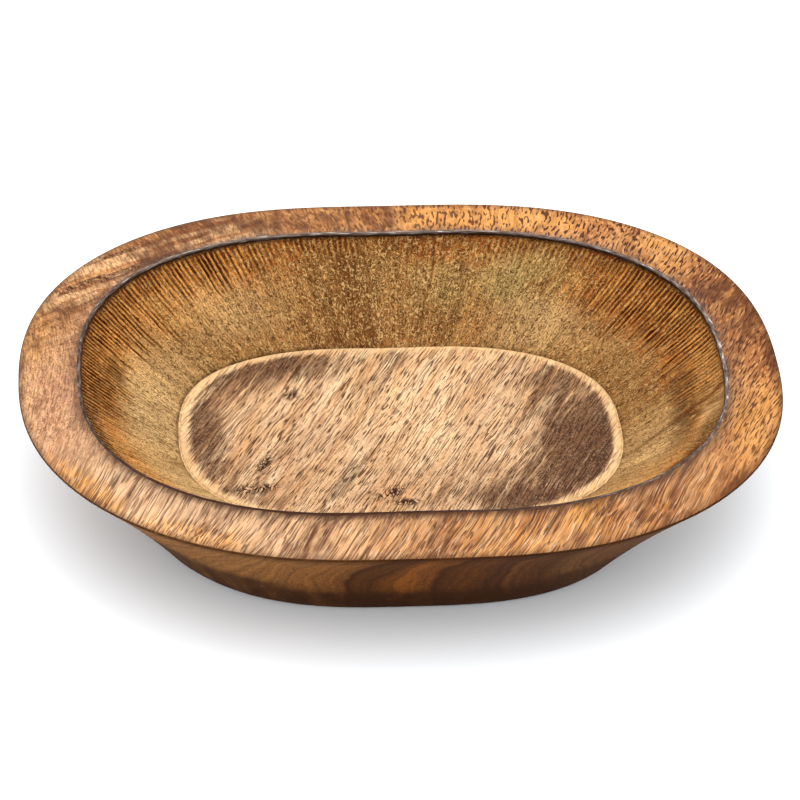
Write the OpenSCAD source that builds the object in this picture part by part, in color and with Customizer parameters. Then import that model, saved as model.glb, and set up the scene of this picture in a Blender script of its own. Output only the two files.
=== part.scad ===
// Oval dough bowl, carved by hand from one block of wood.
// Millimetres, +X along the length, +Z up. The origin is on the underside,
// below the middle of the rim, and the front of the bowl faces -Y.
// The bowl is one skin of rings, laid over each other from the middle of the
// underside, up the outer wall, over the rim and down to the middle of the floor.
// Every ring is an oval whose four quarters each have their own fullness.
// Lists of four go round the bowl: back right, back left, front left, front right.

/* [Bowl] */
// Length over the rim
bowl_length = 400; // [340:1:520]
// Width over the rim
bowl_width = 306; // [270:1:400]
// Height from the underside to the top of the rim
bowl_height = 70; // [62:1:110]

/* [Rim] */
// Width of the rim at the two ends
rim_end_w = 31.5; // [20:0.5:45]
// Width of the rim along the two sides
rim_side_w = 33; // [20:0.5:45]
// Fall of the rim's top from its inner edge to its outer edge
rim_fall = 2.2; // [0.5:0.1:5]
// Height of the rounded outer edge of the rim
rim_edge_h = 2.6; // [1:0.1:6]
// Fullness of the rim's outline: 2 is an ellipse, higher is squarer
rim_fullness = [2.7, 2.52, 2.42, 2.48]; // [1.8:0.01:4.5]
// How far the shoulders of the rim are drawn in near its ends, as a share of their reach
rim_shoulder_share = 0.011; // [-0.04:0.001:0.04]

/* [Lip] */
// Width of the level band along the inner edge of the rim
lip_w = 4; // [3:0.1:8]
// How far the rounding of the lip reaches along its top and its side
lip_round = 1.5; // [0.5:0.1:2]
// Height of the upright, burnished side of the lip
lip_h = 2.8; // [2.6:0.1:5]
// How far the wall is cut back under the lip
lip_undercut = 1; // [0.6:0.1:2]
// Fullness of the lip's outline
lip_fullness = [2.71, 2.76, 2.72, 2.69]; // [1.8:0.01:4.5]
// How far the shoulders of the lip are drawn in near its ends, as a share of their reach
lip_shoulder_share = 0.015; // [-0.04:0.001:0.04]

/* [Hollow] */
// Depth from the top of the rim to the edge of the floor
hollow_depth = 41; // [30:1:50]
// How far the inner wall slopes in at the two ends
slope_end_run = 51.5; // [36:0.5:64]
// How far the inner wall slopes in along the two sides
slope_side_run = 45; // [30:0.5:54]
// How far the inner wall is scooped out halfway down
slope_scoop = 1.6; // [0:0.1:4]

/* [Floor] */
// How far the tool line round the floor lies outside the floor's edge
groove_w = 0.8; // [0.4:0.1:2]
// Depth of the tool line below the floor's edge
groove_d = 1; // [0.5:0.1:2]
// How far in the worn edge of the floor is rounded over
floor_edge_round = 2.4; // [1:0.1:6]
// Dip of the floor at its middle
floor_dip = 0.8; // [0:0.1:2]
// Fullness of the floor's outline
floor_fullness = [2.9, 3.1, 2.6, 2.7]; // [1.8:0.01:4.5]
// How far the shoulders of the floor are drawn in near its ends, as a share of their reach
floor_shoulder_share = 0.015; // [-0.04:0.001:0.04]

/* [Foot] */
// Length of the underside, before its edge is rounded
foot_length = 260; // [220:1:320]
// Width of the underside, before its edge is rounded
foot_width = 222; // [180:1:250]
// How far the edge of the underside is rounded over
foot_edge_round = 4; // [2:0.5:10]
// How far the outer wall is hollowed halfway up
wall_hollowing = 2.2; // [0:0.1:6]
// Fullness of the underside's outline
foot_fullness = [2.6, 2.5, 2.5, 2.9]; // [1.8:0.01:4.5]
// How far the shoulders of the underside are drawn in near its ends, as a share of their reach
foot_shoulder_share = 0.005; // [-0.04:0.001:0.04]

/* [Hidden] */

// Middles of the lip, the floor and the underside, from the middle of the rim
lip_middle = [1.2, 3];
floor_middle = [1, -1.8];
foot_middle = [-6, 0];

lip_length = bowl_length - 2 * rim_end_w;
lip_width = bowl_width - 2 * rim_side_w;
floor_length = lip_length - 2 * slope_end_run;
floor_width = lip_width - 2 * slope_side_run;
rim_edge_z = bowl_height - rim_fall;
lip_under_z = bowl_height - lip_h;
floor_z = bowl_height - hollow_depth;

// Points on each ring, and steps over each rounded edge, wall and floor
ring_points = 120;
edge_steps = 4;
wall_steps = 7;
floor_steps = 4;

// Distance from the middle of an oval to its edge, in one direction
function reach(angle, length, width, fullness, shoulder_share) =
    let (quarter = floor(angle / 90), n = fullness[quarter])
    pow(pow(abs(cos(angle)) * 2 / length, n) + pow(abs(sin(angle)) * 2 / width, n), -1 / n)
    * (1 - shoulder_share * sin(2 * angle) * sin(4 * angle));

// One oval ring of points at height z
function oval(length, width, middle, fullness, shoulder_share, z) =
    [for (i = [0:ring_points - 1])
        let (angle = 360 * i / ring_points)
        let (r = reach(angle, length, width, fullness, shoulder_share))
        [middle.x + r * cos(angle), middle.y + r * sin(angle), z]];

// A ring shrunk to its middle, which the floor and the underside run to
function middle_of(middle, z) = [for (i = [1:ring_points]) [middle.x, middle.y, z]];

// A ring part of the way from one ring to another
function between(from, to, share) = from * (1 - share) + to * share;

// A ring whose points have moved a set distance from one ring towards another
function towards(from, to, distance) =
    [for (i = [0:ring_points - 1])
        from[i] + (to[i] - from[i]) * distance / norm(to[i] - from[i])];

// A ring drawn in towards the upright line through the origin
function drawn_in(ring, distance) =
    [for (p = ring)
        let (share = 1 - distance / norm([p.x, p.y]))
        [p.x * share, p.y * share, p.z]];

// Rings over a corner, from a set distance before it to a set distance past it
function over_edge(before, corner, after, back, forward, first = 0) =
    let (start = towards(corner, before, back), end = towards(corner, after, forward))
    [for (k = [first:edge_steps])
        let (t = k / edge_steps)
        start * pow(1 - t, 2) + corner * 2 * t * (1 - t) + end * pow(t, 2)];

// Rings along a wall between its two edges, drawn in most at its middle
function along_wall(from, to, draw_in) =
    [for (k = [1:wall_steps - 1])
        let (t = k / wall_steps)
        drawn_in(between(from, to, t), draw_in * 4 * t * (1 - t))];

function last(list) = list[len(list) - 1];

// Ovals at the corners of the bowl's section, from the underside to the floor
foot_centre = middle_of(foot_middle, 0);
foot = oval(foot_length, foot_width, foot_middle, foot_fullness, foot_shoulder_share, 0);
rim_under = oval(bowl_length, bowl_width, [0, 0], rim_fullness, rim_shoulder_share,
    rim_edge_z - rim_edge_h);
rim_edge = oval(bowl_length, bowl_width, [0, 0], rim_fullness, rim_shoulder_share, rim_edge_z);
lip_outer = oval(lip_length + 2 * lip_w, lip_width + 2 * lip_w, lip_middle,
    lip_fullness, lip_shoulder_share, bowl_height);
lip_top = oval(lip_length, lip_width, lip_middle, lip_fullness, lip_shoulder_share, bowl_height);
lip_under = oval(lip_length, lip_width, lip_middle,
    lip_fullness, lip_shoulder_share, lip_under_z);
wall_top = oval(lip_length + 2 * lip_undercut, lip_width + 2 * lip_undercut, lip_middle,
    lip_fullness, lip_shoulder_share, lip_under_z);
groove = oval(floor_length + 2 * groove_w, floor_width + 2 * groove_w, floor_middle,
    floor_fullness, floor_shoulder_share, floor_z - groove_d);
floor_edge = oval(floor_length, floor_width, floor_middle,
    floor_fullness, floor_shoulder_share, floor_z);
floor_centre = middle_of(floor_middle, floor_z - floor_dip);

// Rings over each rounded edge
foot_round = over_edge(foot_centre, foot, rim_under, foot_edge_round, foot_edge_round);
rim_low_round = over_edge(last(foot_round), rim_under, rim_edge, rim_edge_h / 2, rim_edge_h / 2);
rim_high_round = over_edge(rim_under, rim_edge, lip_outer, rim_edge_h / 2, rim_edge_h / 2,
    first = 1);
lip_over_round = over_edge(lip_outer, lip_top, lip_under, lip_round, lip_round);
lip_under_round = over_edge(lip_top, lip_under, wall_top, lip_undercut / 2, lip_undercut / 2);
floor_round = over_edge(groove, floor_edge, floor_centre, groove_d / 2, floor_edge_round);

module bowl() {
    floor_rings = [for (k = [1:floor_steps - 1])
        between(last(floor_round), floor_centre, k / floor_steps)];
    rings = concat(
        foot_round,
        along_wall(last(foot_round), rim_low_round[0], wall_hollowing),
        rim_low_round,
        rim_high_round,
        [lip_outer],
        lip_over_round,
        lip_under_round,
        [wall_top],
        along_wall(wall_top, groove, -slope_scoop),
        [groove],
        floor_round,
        floor_rings
    );
    points = concat([foot_centre[0]], [for (ring = rings) each ring], [floor_centre[0]]);
    last_point = len(points) - 1;
    top = last_point - ring_points;
    ring_count = len(rings);
    faces = [
        for (i = [0:ring_points - 1])
            let (j = (i + 1) % ring_points)
            each concat(
                [[0, 1 + i, 1 + j], [last_point, top + j, top + i]],
                [for (k = [0:ring_count - 2], half = [0, 1])
                    let (a = 1 + k * ring_points + i, b = 1 + k * ring_points + j)
                    half == 0
                        ? [a, a + ring_points, b + ring_points]
                        : [a, b + ring_points, b]]
            )
    ];
    color("#b9824a")
        polyhedron(points = points, faces = faces, convexity = 6);
}

bowl();
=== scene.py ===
# Oval dough bowl carved by hand from one block of mango wood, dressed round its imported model.
# Metres. The bowl stands at the origin, its length along X, and its front faces -Y.
import math

import bmesh
import bpy
import numpy as np
from mathutils import Matrix, Vector, noise


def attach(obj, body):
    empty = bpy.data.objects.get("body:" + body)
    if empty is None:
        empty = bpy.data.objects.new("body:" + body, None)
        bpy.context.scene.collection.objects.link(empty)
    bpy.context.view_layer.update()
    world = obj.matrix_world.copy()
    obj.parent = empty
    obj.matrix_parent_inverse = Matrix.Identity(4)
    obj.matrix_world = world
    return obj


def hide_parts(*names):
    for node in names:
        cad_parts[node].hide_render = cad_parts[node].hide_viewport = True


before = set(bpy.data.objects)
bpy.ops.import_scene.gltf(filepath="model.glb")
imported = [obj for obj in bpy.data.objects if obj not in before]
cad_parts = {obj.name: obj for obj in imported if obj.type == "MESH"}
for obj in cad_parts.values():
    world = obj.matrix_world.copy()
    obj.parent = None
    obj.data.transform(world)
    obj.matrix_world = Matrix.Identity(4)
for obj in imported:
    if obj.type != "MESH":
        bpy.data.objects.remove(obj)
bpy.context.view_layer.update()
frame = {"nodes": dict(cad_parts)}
print("frame loaded:", ", ".join(frame["nodes"]))

# The bowl. Lists of four go round it: back right, back left, front left, front right.
shape = {
    "rim": {"length": 0.4, "width": 0.306, "middle": (0.0, 0.0),
            "fullness": (2.7, 2.52, 2.42, 2.48), "shoulder": 0.011},
    "lip": {"length": 0.337, "width": 0.24, "middle": (0.0012, 0.003),
            "fullness": (2.71, 2.76, 2.72, 2.69), "shoulder": 0.015},
    "floor": {"length": 0.234, "width": 0.15, "middle": (0.001, -0.0018),
              "fullness": (2.9, 3.1, 2.6, 2.7), "shoulder": 0.015},
    "foot": {"length": 0.26, "width": 0.222, "middle": (-0.006, 0.0),
             "fullness": (2.6, 2.5, 2.5, 2.9), "shoulder": 0.005},
    "height": 0.07,
    "rimEdgeHeight": 0.0678,
    "rimEdgeThickness": 0.001,
    "floorHeight": 0.029,
    "floorDip": 0.0008,
    "footRound": 0.004,
    "wallHollowing": 0.0022,
    "wallScoop": 0.0016,
    "edgeSteps": 3,          # over the rounded edges of the rim, one more over the foot's
    "outerRows": 9,
    "rimRows": 7,
    "rimStop": 0.985,        # share of the way to the lip at which the rim's rings end
    "wallRows": 32,
    "finePoints": 1440,      # round the lip, the inner wall and the edge of the floor
    "coarsePoints": 480,     # round the outside and the rim
    "endCrowding": 0.25,     # how much closer the points lie at the two ends
    "floorSpan": 102,        # faces across the floor, end to end there are 240 less this
    "floorZone": (0.02, 0.04),    # heights between which only the floor lies inside its edge
    # how far out from the lip's edge, and how high, the burnished lip runs
    "lipSection": [(0.0022, 0.06985), (0.0015, 0.06995), (0.001, 0.07), (0.0006, 0.0699),
                   (0.0003, 0.06955), (0.00005, 0.069), (0.0, 0.0684), (0.0003, 0.06795),
                   (0.001, 0.0678)],
    # how far out from the floor's edge, and how high, its worn edge runs, and how much it wavers
    "edgeSection": [(0.0008, 0.028), (0.00035, 0.02815), (0.00005, 0.02855), (-0.00035, 0.02885),
                    (-0.0011, 0.02898), (-0.0024, 0.029), (-0.0034, 0.029)],
    "edgeFades": (1.0, 1.0, 1.0, 1.0, 0.6, 0.2, 0.0),
    "floorRings": (-0.0052, -0.007),
    "smoothAngle": math.radians(55),
}


def ovalRing(oval, angles, height, grow=0.0):
    quarter = (np.floor(np.mod(angles, 2 * np.pi) / (np.pi / 2)).astype(int)) % 4
    full = np.array(oval["fullness"])[quarter]
    along = np.abs(np.cos(angles)) / (oval["length"] / 2 + grow)
    across = np.abs(np.sin(angles)) / (oval["width"] / 2 + grow)
    reach = (along ** full + across ** full) ** (-1 / full)
    reach = reach * (1 - oval["shoulder"] * np.sin(2 * angles) * np.sin(4 * angles))
    return np.stack([oval["middle"][0] + reach * np.cos(angles),
                     oval["middle"][1] + reach * np.sin(angles),
                     np.full(len(angles), height)], axis=1)


# Points round the bowl, evenly spaced along the lip but a little closer at its two ends
def spreadAngles(count):
    fine = np.linspace(0, 2 * np.pi, 40001)
    ring = ovalRing(shape["lip"], fine, 0.0)
    step = np.linalg.norm(np.diff(ring, axis=0), axis=1)
    step *= 1 + shape["endCrowding"] * np.cos(2 * fine[:-1])
    run = np.concatenate([[0], np.cumsum(step)])
    return np.interp(np.arange(count) / count * run[-1], run, fine)


fineAngles = spreadAngles(shape["finePoints"])
coarseAngles = fineAngles[:: shape["finePoints"] // shape["coarsePoints"]]


def roundCorner(before, corner, after, back, forward, steps):
    start = corner + (before - corner) * (back / np.linalg.norm(before - corner, axis=1))[:, None]
    end = corner + (after - corner) * (forward / np.linalg.norm(after - corner, axis=1))[:, None]
    return [start * (1 - t) ** 2 + corner * 2 * t * (1 - t) + end * t ** 2
            for t in np.linspace(0, 1, steps + 1)]


def wallRings(top, bottom, rows, drawIn):
    rings = []
    for t in np.linspace(0, 1, rows + 1)[1:-1]:
        ring = top * (1 - t) + bottom * t
        share = 1 - drawIn * 4 * t * (1 - t) / np.hypot(ring[:, 0], ring[:, 1])
        rings.append(ring * np.stack([share, share, np.ones(len(ring))], axis=1))
    return rings


def softNoise(points, size, seed=0.0):
    shift = Vector((seed * 7.3, seed * 3.1, seed * 1.7))
    return np.array([noise.noise(Vector(p) / size + shift) for p in points])


def smooth(values):
    values = np.clip(values, 0, 1)
    return values * values * (3 - 2 * values)


# The gouge's flutes run down the inner wall, deep at the two ends and faint along the sides.
# Zones: middle and half width in degrees round the bowl, how far down, and how strong.
carving = {
    "seed": 11,
    "fluteSpacing": 0.0029,
    "fluteUneven": 0.35,
    "fluteStrength": (0.75, 0.35),    # least strength, and how much a flute may have over it
    "fluteReach": (0.6, 0.6),         # the same for how far down it runs
    "fluteFade": 0.22,
    "fluteDepth": 0.0011,
    "fluteSharpness": 1.2,
    "wander": 0.3,
    "wanderSize": 0.012,
    "flickerSize": 0.005,
    "wallDepth": 0.06,
    "zones": [(110, 20, 0.3, 0.75), (137, 26, 0.46, 1.0), (166, 36, 0.66, 1.0), (203, 28, 0.5, 0.8),
              (18, 29, 0.66, 1.0), (346, 14, 0.4, 0.12), (50, 20, 0.4, 0.55), (80, 40, 0.3, 0.15),
              (305, 40, 0.25, 0.2)],
    "wallUneven": 0.0004,
    "wallWaves": (0.032, 0.012),
    "lipUneven": 0.00022,
    "lipWaves": (0.016, 0.0045),
    "edgeUneven": 0.00022,
    "edgeWaves": (0.0032, 0.011),
    # where the floor's edge is chipped: middle and half width in degrees, and how deep
    "chips": [(128, 11, 0.0009), (176, 6, 0.0012), (150, 20, 0.0004), (30, 8, 0.0003)],
    "chipSize": 0.0022,
    # the floor's relief, drawn out along the grain
    "scrapeDepth": 0.00022,
    "scrapeWaves": (0.032, 0.013),
    "scrapeStretch": 6,
}
draws = np.random.default_rng(carving["seed"])


def angleShare(angles, middle, half):
    gap = np.abs((np.degrees(angles) - middle + 180) % 360 - 180)
    return smooth(1 - gap / half)


# Each flute has a number, counted round from the middle of the front, with its groove at the whole
# number. Returns, for every row down the wall, that count, the flute's strength and the depth cut.
def fluteRows(angles, shares):
    lipRun = np.concatenate([[0], np.cumsum(np.linalg.norm(
        np.diff(ovalRing(shape["lip"], np.append(angles, 2 * np.pi), 0.0), axis=0), axis=1))])
    front = np.interp(1.5 * np.pi, angles, lipRun[:-1])
    run = np.mod(lipRun[:-1] - front, lipRun[-1])
    count = int(round(lipRun[-1] / carving["fluteSpacing"]))
    widths = 1 + carving["fluteUneven"] * (draws.random(count) - 0.5)
    lines = np.concatenate([[0], np.cumsum(widths)]) / widths.sum() * lipRun[-1]
    strengths, reaches = [least + more * draws.random(count + 2)
                          for least, more in (carving["fluteStrength"], carving["fluteReach"])]
    counts, zones, depths = [], [], []
    for share in shares:
        spots = np.stack([run, run * 0 + share * carving["wallDepth"], run * 0], axis=1)
        wander = carving["wander"] * softNoise(spots, carving["wanderSize"], 2.0)
        counted = np.interp(run, lines, np.arange(count + 1)) + wander
        near = np.clip(np.round(counted), 0, count).astype(int)
        zone, down = np.zeros(len(run)), np.zeros(len(run))
        for middle, half, reachDown, strength in carving["zones"]:
            part = angleShare(angles, middle, half) ** 0.4 * strength
            down = np.where(part > zone, reachDown, down)
            zone = np.maximum(zone, part)
        fade = smooth((down * reaches[near] - share) / carving["fluteFade"]) * smooth(share / 0.04)
        flicker = 0.85 + 0.35 * softNoise(spots, carving["flickerSize"], 5.0)
        strong = strengths[near] * zone * fade * flicker
        counts.append(counted)
        zones.append(np.clip(strong, 0, 1))
        depths.append(zones[-1] * (0.5 + 0.5 * np.cos(2 * np.pi * counted)) ** carving["fluteSharpness"])
    return np.array(counts), np.array(zones), np.array(depths)


def carveWall(rings, depths):
    grid = np.array(rings)
    around = np.roll(grid, -1, axis=1) - np.roll(grid, 1, axis=1)
    down = np.gradient(grid, axis=0)
    normal = np.cross(around, down)
    normal /= np.linalg.norm(normal, axis=2)[:, :, None]
    normal *= np.sign(normal[:, :, 2:3])
    broad, narrow = carving["wallWaves"]
    uneven = np.array([softNoise(ring, broad, 4.0) + 0.5 * softNoise(ring, narrow, 9.0) for ring in grid])
    fade = np.sin(np.linspace(0, np.pi, len(grid)))[:, None]
    push = depths * carving["fluteDepth"] + (0.5 + 0.5 * uneven) * carving["wallUneven"] * fade
    return grid - normal * push[:, :, None]


# Lays a band of rings: a circle is extruded once for each further ring, and its points set in place.
# The first and the last ring carry marks, by which open rings find each other later.
def layBand(name, rings, material, firstMark=0, lastMark=0):
    rings = np.array(rings)
    bpy.ops.object.select_all(action="DESELECT")
    bpy.ops.mesh.primitive_circle_add(vertices=rings.shape[1], radius=shape["lip"]["length"] / 2)
    band = bpy.context.object
    band.name = name
    band.data.materials.append(material)
    bpy.ops.object.mode_set(mode="EDIT")
    cage = bmesh.from_edit_mesh(band.data)
    spot = cage.verts.layers.int.new("spot")
    cage.verts.layers.int.new("level")
    for corner in cage.verts:
        corner[spot] = corner.index
    for k in range(1, len(rings)):
        bpy.ops.mesh.extrude_edges_move()
        cage = bmesh.from_edit_mesh(band.data)
        level = cage.verts.layers.int["level"]
        for corner in cage.verts:
            if corner.select:
                corner[level] = k
    bpy.ops.object.mode_set(mode="OBJECT")
    spots, levels = readValues(band.data, "spot"), readValues(band.data, "level")
    band.data.vertices.foreach_set("co", rings[levels, spots].ravel())
    writeValues(band.data, "mark", np.where(levels == 0, firstMark,
                                            np.where(levels == len(rings) - 1, lastMark, 0)), "INT")
    return band


def readValues(mesh, name):
    layer = mesh.attributes[name]
    values = np.zeros(len(mesh.vertices), dtype=np.int32 if layer.data_type == "INT" else np.float32)
    layer.data.foreach_get("value", values)
    return values


def writeValues(mesh, name, values, kind="FLOAT"):
    layer = mesh.attributes.get(name) or mesh.attributes.new(name, kind, "POINT")
    field = "vector" if kind == "FLOAT_VECTOR" else "value"
    layer.data.foreach_set(field, np.ascontiguousarray(values).ravel())


def colour(code):
    parts = [int(code[i:i + 2], 16) / 255 for i in (1, 3, 5)]
    return tuple(c / 12.92 if c <= 0.04045 else ((c + 0.055) / 1.055) ** 2.4 for c in parts) + (1.0,)


# Adds a node and feeds its sockets with values, with sockets or with nodes, by their first output
def addNode(tree, kind, feeds=None, **settings):
    made = tree.nodes.new("ShaderNode" + kind)
    for name, value in settings.items():
        setattr(made, name, value)
    for socket, value in (feeds or {}).items():
        if isinstance(value, bpy.types.Node):
            value = value.outputs[0]
        if isinstance(value, bpy.types.NodeSocket):
            tree.links.new(value, made.inputs[socket])
        else:
            made.inputs[socket].default_value = value
    return made


def readAttribute(tree, name, output="Fac"):
    return addNode(tree, "Attribute", attribute_name=name).outputs[output]


def newMaterial(name):
    material = bpy.data.materials.new(name)
    material.use_nodes = True
    tree = material.node_tree
    return material, tree, tree.nodes["Principled BSDF"]


# Wood grain lies level in the block, at a slant across the bowl. Round the rim it fans out at the back.
grain = {
    "turn": math.radians(62),
    "fan": 1.04,
    "fanFrom": -0.13,
    "fanSpread": 4.0,
    "waverSize": 0.045,
    "waver": 0.006,
    "relief": 0.0004,
}


def grainPlace(tree, fan):
    place = addNode(tree, "TexCoord").outputs["Object"]
    axes = addNode(tree, "SeparateXYZ", {0: place})
    back = addNode(tree, "Math", {0: axes.outputs["Y"], 1: grain["fanFrom"]}, operation="SUBTRACT")
    square = addNode(tree, "Math", {0: back, 1: back}, operation="MULTIPLY")
    side = addNode(tree, "Math", {0: axes.outputs["X"], 1: -grain["fanSpread"] * fan, 2: fan},
                   operation="MULTIPLY_ADD")
    shift = addNode(tree, "Math", {0: square, 1: side, 2: axes.outputs["X"]}, operation="MULTIPLY_ADD")
    fanned = addNode(tree, "CombineXYZ", {0: shift, 1: axes.outputs["Y"], 2: axes.outputs["Z"]})
    waver = addNode(tree, "TexNoise", {"Vector": place, "Scale": 1 / grain["waverSize"], "Detail": 1.5})
    sway = addNode(tree, "VectorMath", {0: waver.outputs["Color"], "Scale": grain["waver"]},
                   operation="SCALE")
    return addNode(tree, "VectorMath", {0: fanned, 1: sway}, operation="ADD")


# Noise drawn out along the grain: cell gives its length along, across and upright, in metres, and
# one of two lengths is as long upright as across
def grainNoise(tree, place, cell, turn=0.0, detail=2.0, curl=0.0):
    turned = addNode(tree, "Mapping", {"Vector": place, "Rotation": (0, 0, turn),
                                      "Scale": (cell[0], cell[1], cell[-1])}, vector_type="TEXTURE")
    return addNode(tree, "TexNoise", {"Vector": turned, "Scale": 1.0, "Detail": detail,
                                      "Roughness": 0.55, "Distortion": curl}).outputs["Fac"]


def figureTones(tree, fac, stops):
    made = addNode(tree, "ValToRGB", {0: fac})
    ramp = made.color_ramp
    while len(ramp.elements) < len(stops):
        ramp.elements.new(0.5)
    for element, (place, code) in zip(ramp.elements, stops):
        element.position = place
        element.color = colour(code)
    return made


# Paints a finish over the wood, layer by layer. Each is a noise that shows past the two values of its
# span, only where its attribute is strong, and push makes that attribute lift the noise instead. A line
# layer shows where its noise passes its middle. Tone darkens and lightens, and height goes to the bump.
def paintLayers(tree, wood, finish, place, turn, share):
    depth = None
    for layer in finish["layers"]:
        fac = grainNoise(tree, place, layer["cell"], layer.get("turn", turn), layer.get("detail", 2.0),
                         layer.get("curl", 0.0))
        if layer.get("line"):
            off = addNode(tree, "Math", {0: fac, 1: 0.5}, operation="SUBTRACT")
            fac = addNode(tree, "Math", {0: off}, operation="ABSOLUTE")
        name = layer.get("where")
        if name and name not in share:
            share[name] = readAttribute(tree, name)
        where = share.get(name)
        if "push" in layer:
            fac = addNode(tree, "Math", {0: where, 1: layer["push"], 2: fac}, operation="MULTIPLY_ADD")
        low, high = layer.get("tone", (0.0, layer.get("strength", 1.0)))
        part = addNode(tree, "MapRange", {"Value": fac, "From Min": layer["span"][0],
                                          "From Max": layer["span"][1], "To Min": low, "To Max": high},
                       interpolation_type="SMOOTHSTEP")
        if "tone" in layer:
            wood = addNode(tree, "VectorMath", {0: wood, "Scale": part}, operation="SCALE")
        else:
            if where and "push" not in layer:
                part = addNode(tree, "Math", {0: part, 1: where}, operation="MULTIPLY", use_clamp=True)
            wood = addNode(tree, "Mix", {0: part, 6: wood, 7: colour(layer["colour"])},
                           data_type="RGBA").outputs[2]
        if "name" in layer:
            share[layer["name"]] = part
        if "height" in layer:
            feeds = {0: part, 1: layer["height"], 2: depth if depth else 0.0}
            depth = addNode(tree, "Math", feeds, operation="MULTIPLY_ADD")
    return wood, depth


# The last scale darkens all of the wood's colour evenly, a painted shade that offsets the bright studio
# light
def finishWood(tree, shader, wood, finish, place, turn=0.0, share=None):
    wood, depth = paintLayers(tree, wood, finish, place, turn, share or {})
    # painted shade: the whole colour is darkened evenly to offset the bright studio light
    wood = addNode(tree, "VectorMath", {0: wood, "Scale": finish["paintedShadeScale"]}, operation="SCALE")
    bump = addNode(tree, "Bump", {"Strength": finish["bump"], "Distance": grain["relief"],
                                  "Height": depth})
    tree.links.new(wood.outputs[0], shader.inputs["Base Color"])
    tree.links.new(bump.outputs[0], shader.inputs["Normal"])
    shader.inputs["Roughness"].default_value = finish["roughness"]
    shader.inputs["Specular IOR Level"].default_value = finish["gloss"]


# Mango wood, sanded level and oiled: tan to orange, its open pores dark dashes along the grain, long
# at the front, where the grain runs out slowly, and short at the ends and the back. All pores are
# drawn wider than the real ones, here and on the floor, so that they show.
rimFinish = {
    "figureCell": (0.05, 0.011),
    "tones": [(0.3, "#AE6C38"), (0.44, "#CE8A4E"), (0.58, "#DEA062"), (0.74, "#B67440")],
    "layers": [
        dict(cell=(0.06, 0.01), span=(0.5, 0.64), strength=0.5, colour="#AE6C38"),
        dict(cell=(0.03, 0.008), where="fair", span=(0.1, 0.45), strength=0.85, colour="#F8CCA0"),
        dict(cell=(0.03, 0.008), where="tawny", span=(0.1, 0.55), strength=0.85, colour="#94521E"),
        dict(cell=(0.12, 0.012), turn=math.radians(24), where="swirl", span=(0.49, 0.57), strength=0.95,
             colour="#7E4422"),
        dict(cell=(0.08, 0.0042), turn=math.radians(24), where="swirl", span=(0.53, 0.59),
             colour="#45220F"),
        dict(cell=(0.1, 0.007), turn=math.radians(24), where="swirl", span=(0.5, 0.42), strength=0.9,
             colour="#F6C28A"),
        dict(cell=(0.06, 0.0036), where="long", span=(0.54, 0.3), strength=0.55, colour="#F0BC86"),
        dict(cell=(0.07, 0.005), where="long", span=(0.5, 0.7), strength=0.6, colour="#8A5C44",
             detail=3.0),
        dict(cell=(0.012, 0.0045), where="glow", span=(0.2, 0.55), colour="#EEA551"),
        dict(cell=(0.01, 0.0045), where="rose", span=(0.2, 0.55), strength=0.8, colour="#C48A6C"),
        # curled fibre strokes: the dark ones painted shade, the light ones painted highlight
        dict(cell=(0.0034, 0.0018), where="curlyFibreLightShade", line=True, span=(0.08, 0.03), strength=0.6,
             colour="#844A24", detail=0.5, curl=1.0, height=-0.4),
        dict(cell=(0.003, 0.0018), where="curlyFibreLightShade", line=True, span=(0.06, 0.02), strength=0.45,
             colour="#F6C08A", detail=0.5, curl=1.0, height=0.4),
        dict(cell=(0.02, 0.0007), span=(0.32, 0.68), tone=(1.2, 0.8), height=0.3),
        dict(cell=(0.036, 0.0011), where="long", span=(0.56, 0.65), strength=0.62, colour="#6A4230",
             detail=0.5, height=-1.0),
        dict(cell=(0.022, 0.0008), where="long", span=(0.59, 0.65), strength=0.72, colour="#4E2C1C",
             detail=0.0, height=-1.0),
        dict(cell=(0.028, 0.0009), where="long", span=(0.58, 0.67), strength=0.52, colour="#FAD8B2"),
        dict(cell=(0.005, 0.0012), where="pored", span=(0.53, 0.65), strength=0.55, colour="#F2B272",
             detail=0.0),
        dict(cell=(0.0062, 0.0008), where="pored", span=(0.575, 0.635), colour="#54280E", detail=0.0,
             height=-1.0),
        dict(cell=(0.016, 0.004), where="dusk", push=0.3, span=(0.45, 0.85), strength=0.8,
             colour="#5E3116", detail=3.0),
        dict(cell=(0.01, 0.003), where="slate", span=(0.26, 0.56), colour="#5C4840"),
        dict(cell=(0.004, 0.003), where="edge", span=(0.1, 0.4), colour="#4A2912"),
    ],
    "paintedShadeScale": 0.76,
    "roughness": 0.55,
    "gloss": 0.07,
    "bump": 0.7,
}


# The same wood rubbed smooth along the lip: slate brown with bright specks of painted highlight; its
# inner face and its front darker, partly burnt wood and partly painted shade
lipFinish = {
    "rubAndHighlightCell": (0.006, 0.006, 0.0016),
    # the palest tone gives bright specks of painted highlight
    "tones": [(0.36, "#4E3C32"), (0.5, "#76645A"), (0.6, "#9A8A80"), (0.69, "#DCD2CA")],
    "layers": [
        # the inner face darker: partly burnt wood, partly painted shade under the crest
        dict(cell=(0.003, 0.003), where="inner", span=(0.1, 0.4), strength=0.95, colour="#24140A"),
        # dark brown at the front: partly the burnt edge, partly painted shade
        dict(cell=(0.006, 0.006, 0.002), where="near", span=(0.0, 0.1), colour="#3A1E0E"),
        dict(cell=(0.004, 0.004, 0.0016), span=(0.3, 0.7), tone=(0.75, 1.2), height=1.0),
    ],
    "paintedShadeScale": 0.8,
    "roughness": 0.42,
    "gloss": 0.05,
    "bump": 0.5,
}


def makeLipMaterial():
    material, tree, shader = newMaterial("burnishedLipPaintedLightShade")
    wrap = readAttribute(tree, "wrap", "Vector")
    wood = figureTones(tree, grainNoise(tree, wrap, lipFinish["rubAndHighlightCell"], detail=3.0), lipFinish["tones"])
    finishWood(tree, shader, wood, lipFinish, wrap)
    return material
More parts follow.
